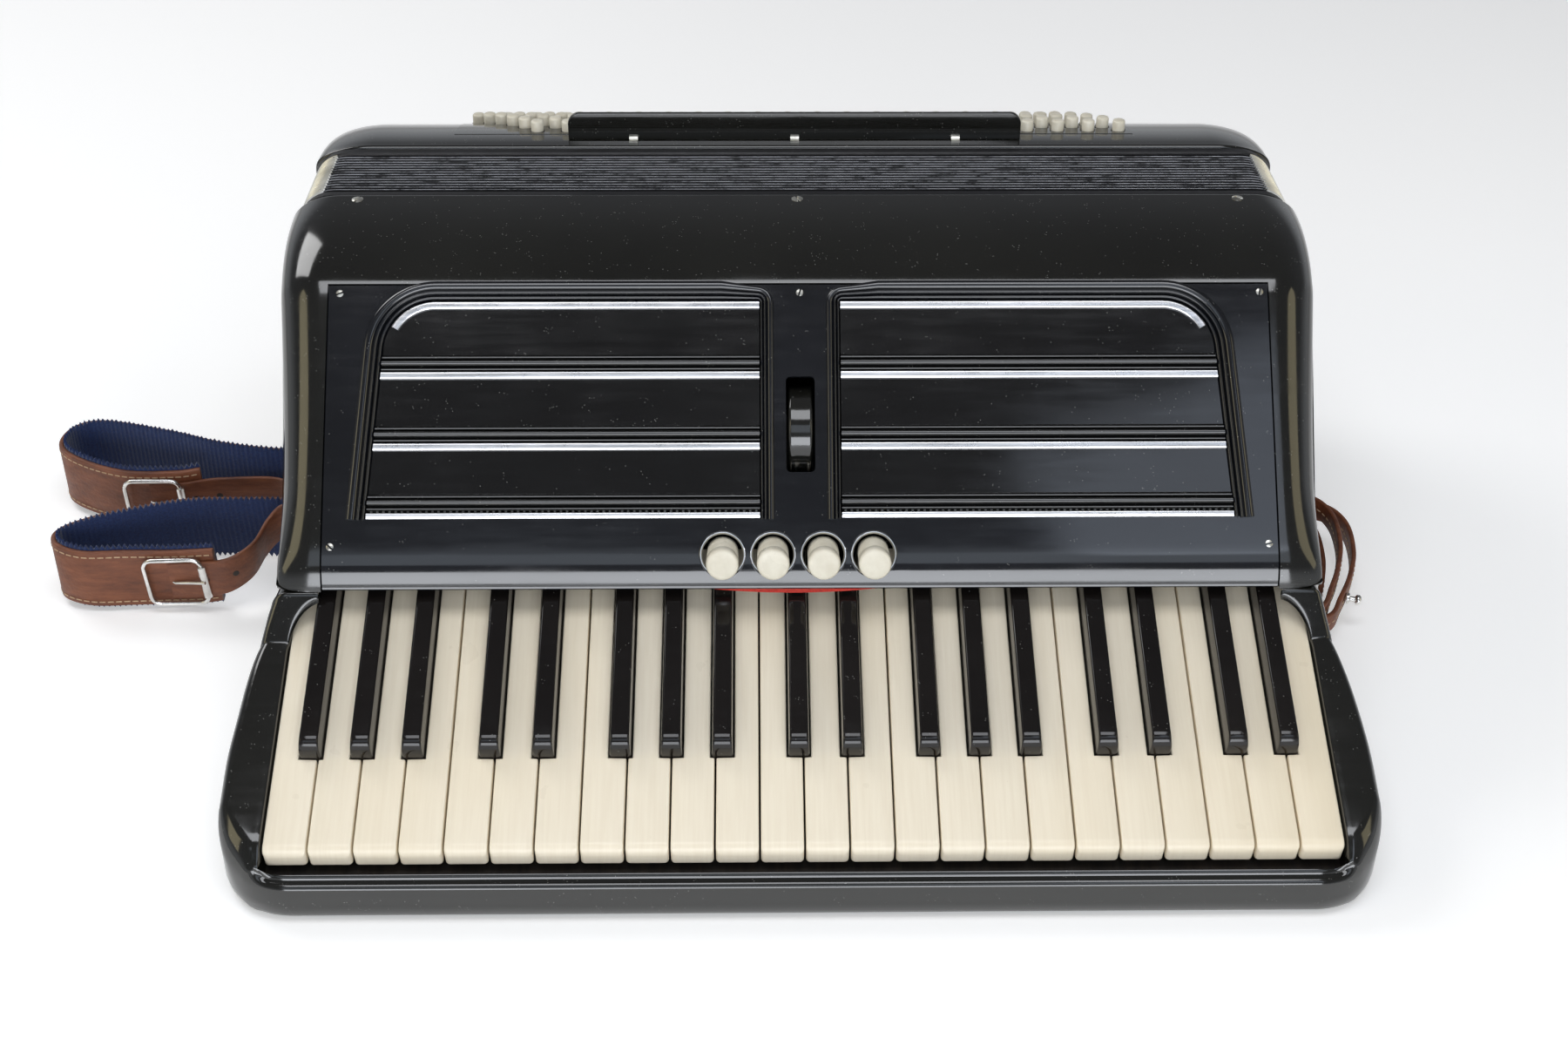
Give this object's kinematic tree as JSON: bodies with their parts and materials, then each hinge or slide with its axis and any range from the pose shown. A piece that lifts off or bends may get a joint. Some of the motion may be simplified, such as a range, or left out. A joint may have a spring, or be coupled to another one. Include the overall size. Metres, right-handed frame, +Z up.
{
  "type": "piano accordion",
  "caption": "Full-size black piano accordion lying on its back: sprung ivory and black keys, louvred grille, register buttons, folding bellows, bass buttons and leather straps.",
  "frame": {"origin": "on the surface the instrument lies on, under the middle of the keyboard's front rail", "axes": "+X along the keyboard from the low notes to the high, +Y from the keyboard across the bellows to the bass side, +Z up out of the grille"},
  "size_m": [0.709, 0.4878, 0.2272],
  "materials": {
    "black_celluloid": "polished",
    "ivory": "polished",
    "cream_plastic": "polished",
    "leather": "waxed grain",
    "nickel": "polished",
    "bellows_cloth": "matt black leatherette on card"
  },
  "bodies": {
    "treble": {"treble_casing": "black_celluloid", "grille_panel": "black_celluloid", "keyboard_frame": "black_celluloid", "key_axle": "nickel", "bellows": "bellows_cloth", "shoulder_strap_upper": "leather", "shoulder_strap_lower": "leather", "shoulder_strap_ends": "leather"},
    "bass": {"bass_casing": "black_celluloid", "bass_button_board": "black_celluloid", "bass_guard": "black_celluloid", "hand_strap": "leather"},
    "white_key_01": {"white_key_01": "ivory"},
    "white_key_02": {"white_key_02": "ivory"},
    "white_key_03": {"white_key_03": "ivory"},
    "white_key_04": {"white_key_04": "ivory"},
    "white_key_05": {"white_key_05": "ivory"},
    "white_key_06": {"white_key_06": "ivory"},
    "white_key_07": {"white_key_07": "ivory"},
    "white_key_08": {"white_key_08": "ivory"},
    "white_key_09": {"white_key_09": "ivory"},
    "white_key_10": {"white_key_10": "ivory"},
    "white_key_11": {"white_key_11": "ivory"},
    "white_key_12": {"white_key_12": "ivory"},
    "white_key_13": {"white_key_13": "ivory"},
    "white_key_14": {"white_key_14": "ivory"},
    "white_key_15": {"white_key_15": "ivory"},
    "white_key_16": {"white_key_16": "ivory"},
    "white_key_17": {"white_key_17": "ivory"},
    "white_key_18": {"white_key_18": "ivory"},
    "white_key_19": {"white_key_19": "ivory"},
    "white_key_20": {"white_key_20": "ivory"},
    "white_key_21": {"white_key_21": "ivory"},
    "white_key_22": {"white_key_22": "ivory"},
    "white_key_23": {"white_key_23": "ivory"},
    "white_key_24": {"white_key_24": "ivory"},
    "black_key_01": {"black_key_01": "black_celluloid"},
    "black_key_02": {"black_key_02": "black_celluloid"},
    "black_key_03": {"black_key_03": "black_celluloid"},
    "black_key_04": {"black_key_04": "black_celluloid"},
    "black_key_05": {"black_key_05": "black_celluloid"},
    "black_key_06": {"black_key_06": "black_celluloid"},
    "black_key_07": {"black_key_07": "black_celluloid"},
    "black_key_08": {"black_key_08": "black_celluloid"},
    "black_key_09": {"black_key_09": "black_celluloid"},
    "black_key_10": {"black_key_10": "black_celluloid"},
    "black_key_11": {"black_key_11": "black_celluloid"},
    "black_key_12": {"black_key_12": "black_celluloid"},
    "black_key_13": {"black_key_13": "black_celluloid"},
    "black_key_14": {"black_key_14": "black_celluloid"},
    "black_key_15": {"black_key_15": "black_celluloid"},
    "black_key_16": {"black_key_16": "black_celluloid"},
    "black_key_17": {"black_key_17": "black_celluloid"},
    "register_button_1": {"register_button_1": "cream_plastic"},
    "register_button_2": {"register_button_2": "cream_plastic"},
    "register_button_3": {"register_button_3": "cream_plastic"},
    "register_button_4": {"register_button_4": "cream_plastic"},
    "tone_wheel": {"tone_wheel": "black_celluloid"},
    "strap_knob": {"strap_knob": "nickel"},
    "air_button": {"air_button": "nickel"}
  },
  "joints": [
    {"name": "bellows_draw", "type": "slide", "parent": "treble", "child": "bass", "axis": [0, 1, 0], "range_m": [0, 0.3], "deforming": ["bellows"]},
    {"name": "white_key_01_press", "type": "hinge", "parent": "treble", "child": "white_key_01", "pos_m": [-0.22425, 0.14166, 0.07782], "axis": [1, 0, 0], "range_deg": [0, 1.6], "stiffness_Nm_per_rad": 0.3, "springref_deg": -14.32},
    {"name": "white_key_02_press", "type": "hinge", "parent": "treble", "child": "white_key_02", "pos_m": [-0.20475, 0.14166, 0.07782], "axis": [1, 0, 0], "range_deg": [0, 1.6], "stiffness_Nm_per_rad": 0.3, "springref_deg": -14.32},
    {"name": "white_key_03_press", "type": "hinge", "parent": "treble", "child": "white_key_03", "pos_m": [-0.18525, 0.14166, 0.07782], "axis": [1, 0, 0], "range_deg": [0, 1.6], "stiffness_Nm_per_rad": 0.3, "springref_deg": -14.32},
    {"name": "white_key_04_press", "type": "hinge", "parent": "treble", "child": "white_key_04", "pos_m": [-0.16575, 0.14166, 0.07782], "axis": [1, 0, 0], "range_deg": [0, 1.6], "stiffness_Nm_per_rad": 0.3, "springref_deg": -14.32},
    {"name": "white_key_05_press", "type": "hinge", "parent": "treble", "child": "white_key_05", "pos_m": [-0.14625, 0.14166, 0.07782], "axis": [1, 0, 0], "range_deg": [0, 1.6], "stiffness_Nm_per_rad": 0.3, "springref_deg": -14.32},
    {"name": "white_key_06_press", "type": "hinge", "parent": "treble", "child": "white_key_06", "pos_m": [-0.12675, 0.14166, 0.07782], "axis": [1, 0, 0], "range_deg": [0, 1.6], "stiffness_Nm_per_rad": 0.3, "springref_deg": -14.32},
    {"name": "white_key_07_press", "type": "hinge", "parent": "treble", "child": "white_key_07", "pos_m": [-0.10725, 0.14166, 0.07782], "axis": [1, 0, 0], "range_deg": [0, 1.6], "stiffness_Nm_per_rad": 0.3, "springref_deg": -14.32},
    {"name": "white_key_08_press", "type": "hinge", "parent": "treble", "child": "white_key_08", "pos_m": [-0.08775, 0.14166, 0.07782], "axis": [1, 0, 0], "range_deg": [0, 1.6], "stiffness_Nm_per_rad": 0.3, "springref_deg": -14.32},
    {"name": "white_key_09_press", "type": "hinge", "parent": "treble", "child": "white_key_09", "pos_m": [-0.06825, 0.14166, 0.07782], "axis": [1, 0, 0], "range_deg": [0, 1.6], "stiffness_Nm_per_rad": 0.3, "springref_deg": -14.32},
    {"name": "white_key_10_press", "type": "hinge", "parent": "treble", "child": "white_key_10", "pos_m": [-0.04875, 0.14166, 0.07782], "axis": [1, 0, 0], "range_deg": [0, 1.6], "stiffness_Nm_per_rad": 0.3, "springref_deg": -14.32},
    {"name": "white_key_11_press", "type": "hinge", "parent": "treble", "child": "white_key_11", "pos_m": [-0.02925, 0.14166, 0.07782], "axis": [1, 0, 0], "range_deg": [0, 1.6], "stiffness_Nm_per_rad": 0.3, "springref_deg": -14.32},
    {"name": "white_key_12_press", "type": "hinge", "parent": "treble", "child": "white_key_12", "pos_m": [-0.00975, 0.14166, 0.07782], "axis": [1, 0, 0], "range_deg": [0, 1.6], "stiffness_Nm_per_rad": 0.3, "springref_deg": -14.32},
    {"name": "white_key_13_press", "type": "hinge", "parent": "treble", "child": "white_key_13", "pos_m": [0.00975, 0.14166, 0.07782], "axis": [1, 0, 0], "range_deg": [0, 1.6], "stiffness_Nm_per_rad": 0.3, "springref_deg": -14.32},
    {"name": "white_key_14_press", "type": "hinge", "parent": "treble", "child": "white_key_14", "pos_m": [0.02925, 0.14166, 0.07782], "axis": [1, 0, 0], "range_deg": [0, 1.6], "stiffness_Nm_per_rad": 0.3, "springref_deg": -14.32},
    {"name": "white_key_15_press", "type": "hinge", "parent": "treble", "child": "white_key_15", "pos_m": [0.04875, 0.14166, 0.07782], "axis": [1, 0, 0], "range_deg": [0, 1.6], "stiffness_Nm_per_rad": 0.3, "springref_deg": -14.32},
    {"name": "white_key_16_press", "type": "hinge", "parent": "treble", "child": "white_key_16", "pos_m": [0.06825, 0.14166, 0.07782], "axis": [1, 0, 0], "range_deg": [0, 1.6], "stiffness_Nm_per_rad": 0.3, "springref_deg": -14.32},
    {"name": "white_key_17_press", "type": "hinge", "parent": "treble", "child": "white_key_17", "pos_m": [0.08775, 0.14166, 0.07782], "axis": [1, 0, 0], "range_deg": [0, 1.6], "stiffness_Nm_per_rad": 0.3, "springref_deg": -14.32},
    {"name": "white_key_18_press", "type": "hinge", "parent": "treble", "child": "white_key_18", "pos_m": [0.10725, 0.14166, 0.07782], "axis": [1, 0, 0], "range_deg": [0, 1.6], "stiffness_Nm_per_rad": 0.3, "springref_deg": -14.32},
    {"name": "white_key_19_press", "type": "hinge", "parent": "treble", "child": "white_key_19", "pos_m": [0.12675, 0.14166, 0.07782], "axis": [1, 0, 0], "range_deg": [0, 1.6], "stiffness_Nm_per_rad": 0.3, "springref_deg": -14.32},
    {"name": "white_key_20_press", "type": "hinge", "parent": "treble", "child": "white_key_20", "pos_m": [0.14625, 0.14166, 0.07782], "axis": [1, 0, 0], "range_deg": [0, 1.6], "stiffness_Nm_per_rad": 0.3, "springref_deg": -14.32},
    {"name": "white_key_21_press", "type": "hinge", "parent": "treble", "child": "white_key_21", "pos_m": [0.16575, 0.14166, 0.07782], "axis": [1, 0, 0], "range_deg": [0, 1.6], "stiffness_Nm_per_rad": 0.3, "springref_deg": -14.32},
    {"name": "white_key_22_press", "type": "hinge", "parent": "treble", "child": "white_key_22", "pos_m": [0.18525, 0.14166, 0.07782], "axis": [1, 0, 0], "range_deg": [0, 1.6], "stiffness_Nm_per_rad": 0.3, "springref_deg": -14.32},
    {"name": "white_key_23_press", "type": "hinge", "parent": "treble", "child": "white_key_23", "pos_m": [0.20475, 0.14166, 0.07782], "axis": [1, 0, 0], "range_deg": [0, 1.6], "stiffness_Nm_per_rad": 0.3, "springref_deg": -14.32},
    {"name": "white_key_24_press", "type": "hinge", "parent": "treble", "child": "white_key_24", "pos_m": [0.22425, 0.14166, 0.07782], "axis": [1, 0, 0], "range_deg": [0, 1.6], "stiffness_Nm_per_rad": 0.3, "springref_deg": -14.32},
    {"name": "black_key_01_press", "type": "hinge", "parent": "treble", "child": "black_key_01", "pos_m": [-0.21756, 0.14166, 0.07782], "axis": [1, 0, 0], "range_deg": [0, 1.6], "stiffness_Nm_per_rad": 0.3, "springref_deg": -14.32},
    {"name": "black_key_02_press", "type": "hinge", "parent": "treble", "child": "black_key_02", "pos_m": [-0.195, 0.14166, 0.07782], "axis": [1, 0, 0], "range_deg": [0, 1.6], "stiffness_Nm_per_rad": 0.3, "springref_deg": -14.32},
    {"name": "black_key_03_press", "type": "hinge", "parent": "treble", "child": "black_key_03", "pos_m": [-0.17244, 0.14166, 0.07782], "axis": [1, 0, 0], "range_deg": [0, 1.6], "stiffness_Nm_per_rad": 0.3, "springref_deg": -14.32},
    {"name": "black_key_04_press", "type": "hinge", "parent": "treble", "child": "black_key_04", "pos_m": [-0.13857, 0.14166, 0.07782], "axis": [1, 0, 0], "range_deg": [0, 1.6], "stiffness_Nm_per_rad": 0.3, "springref_deg": -14.32},
    {"name": "black_key_05_press", "type": "hinge", "parent": "treble", "child": "black_key_05", "pos_m": [-0.11493, 0.14166, 0.07782], "axis": [1, 0, 0], "range_deg": [0, 1.6], "stiffness_Nm_per_rad": 0.3, "springref_deg": -14.32},
    {"name": "black_key_06_press", "type": "hinge", "parent": "treble", "child": "black_key_06", "pos_m": [-0.08106, 0.14166, 0.07782], "axis": [1, 0, 0], "range_deg": [0, 1.6], "stiffness_Nm_per_rad": 0.3, "springref_deg": -14.32},
    {"name": "black_key_07_press", "type": "hinge", "parent": "treble", "child": "black_key_07", "pos_m": [-0.0585, 0.14166, 0.07782], "axis": [1, 0, 0], "range_deg": [0, 1.6], "stiffness_Nm_per_rad": 0.3, "springref_deg": -14.32},
    {"name": "black_key_08_press", "type": "hinge", "parent": "treble", "child": "black_key_08", "pos_m": [-0.03594, 0.14166, 0.07782], "axis": [1, 0, 0], "range_deg": [0, 1.6], "stiffness_Nm_per_rad": 0.3, "springref_deg": -14.32},
    {"name": "black_key_09_press", "type": "hinge", "parent": "treble", "child": "black_key_09", "pos_m": [-0.00207, 0.14166, 0.07782], "axis": [1, 0, 0], "range_deg": [0, 1.6], "stiffness_Nm_per_rad": 0.3, "springref_deg": -14.32},
    {"name": "black_key_10_press", "type": "hinge", "parent": "treble", "child": "black_key_10", "pos_m": [0.02157, 0.14166, 0.07782], "axis": [1, 0, 0], "range_deg": [0, 1.6], "stiffness_Nm_per_rad": 0.3, "springref_deg": -14.32},
    {"name": "black_key_11_press", "type": "hinge", "parent": "treble", "child": "black_key_11", "pos_m": [0.05544, 0.14166, 0.07782], "axis": [1, 0, 0], "range_deg": [0, 1.6], "stiffness_Nm_per_rad": 0.3, "springref_deg": -14.32},
    {"name": "black_key_12_press", "type": "hinge", "parent": "treble", "child": "black_key_12", "pos_m": [0.078, 0.14166, 0.07782], "axis": [1, 0, 0], "range_deg": [0, 1.6], "stiffness_Nm_per_rad": 0.3, "springref_deg": -14.32},
    {"name": "black_key_13_press", "type": "hinge", "parent": "treble", "child": "black_key_13", "pos_m": [0.10056, 0.14166, 0.07782], "axis": [1, 0, 0], "range_deg": [0, 1.6], "stiffness_Nm_per_rad": 0.3, "springref_deg": -14.32},
    {"name": "black_key_14_press", "type": "hinge", "parent": "treble", "child": "black_key_14", "pos_m": [0.13443, 0.14166, 0.07782], "axis": [1, 0, 0], "range_deg": [0, 1.6], "stiffness_Nm_per_rad": 0.3, "springref_deg": -14.32},
    {"name": "black_key_15_press", "type": "hinge", "parent": "treble", "child": "black_key_15", "pos_m": [0.15807, 0.14166, 0.07782], "axis": [1, 0, 0], "range_deg": [0, 1.6], "stiffness_Nm_per_rad": 0.3, "springref_deg": -14.32},
    {"name": "black_key_16_press", "type": "hinge", "parent": "treble", "child": "black_key_16", "pos_m": [0.19194, 0.14166, 0.07782], "axis": [1, 0, 0], "range_deg": [0, 1.6], "stiffness_Nm_per_rad": 0.3, "springref_deg": -14.32},
    {"name": "black_key_17_press", "type": "hinge", "parent": "treble", "child": "black_key_17", "pos_m": [0.2145, 0.14166, 0.07782], "axis": [1, 0, 0], "range_deg": [0, 1.6], "stiffness_Nm_per_rad": 0.3, "springref_deg": -14.32},
    {"name": "register_button_1_push", "type": "slide", "parent": "treble", "child": "register_button_1", "axis": [0, 0.9397, -0.342], "range_m": [0, 0.005], "stiffness_N_per_m": 150, "springref_m": -0.004},
    {"name": "register_button_2_push", "type": "slide", "parent": "treble", "child": "register_button_2", "axis": [0, 0.9397, -0.342], "range_m": [0, 0.005], "stiffness_N_per_m": 150, "springref_m": -0.004},
    {"name": "register_button_3_push", "type": "slide", "parent": "treble", "child": "register_button_3", "axis": [0, 0.9397, -0.342], "range_m": [0, 0.005], "stiffness_N_per_m": 150, "springref_m": -0.004},
    {"name": "register_button_4_push", "type": "slide", "parent": "treble", "child": "register_button_4", "axis": [0, 0.9397, -0.342], "range_m": [0, 0.005], "stiffness_N_per_m": 150, "springref_m": -0.004},
    {"name": "tone_wheel_turn", "type": "hinge", "parent": "treble", "child": "tone_wheel", "pos_m": [0, 0.17253, 0.13592], "axis": [1, 0, 0], "range_deg": [-60, 60]},
    {"name": "strap_knob_turn", "type": "hinge", "parent": "bass", "child": "strap_knob", "pos_m": [-0.2448, 0.385, 0.11], "axis": [-1, 0, 0], "continuous": true},
    {"name": "air_button_push", "type": "slide", "parent": "bass", "child": "air_button", "axis": [0, -1, 0], "range_m": [0, 0.006], "stiffness_N_per_m": 150, "springref_m": -0.004}
  ]
}
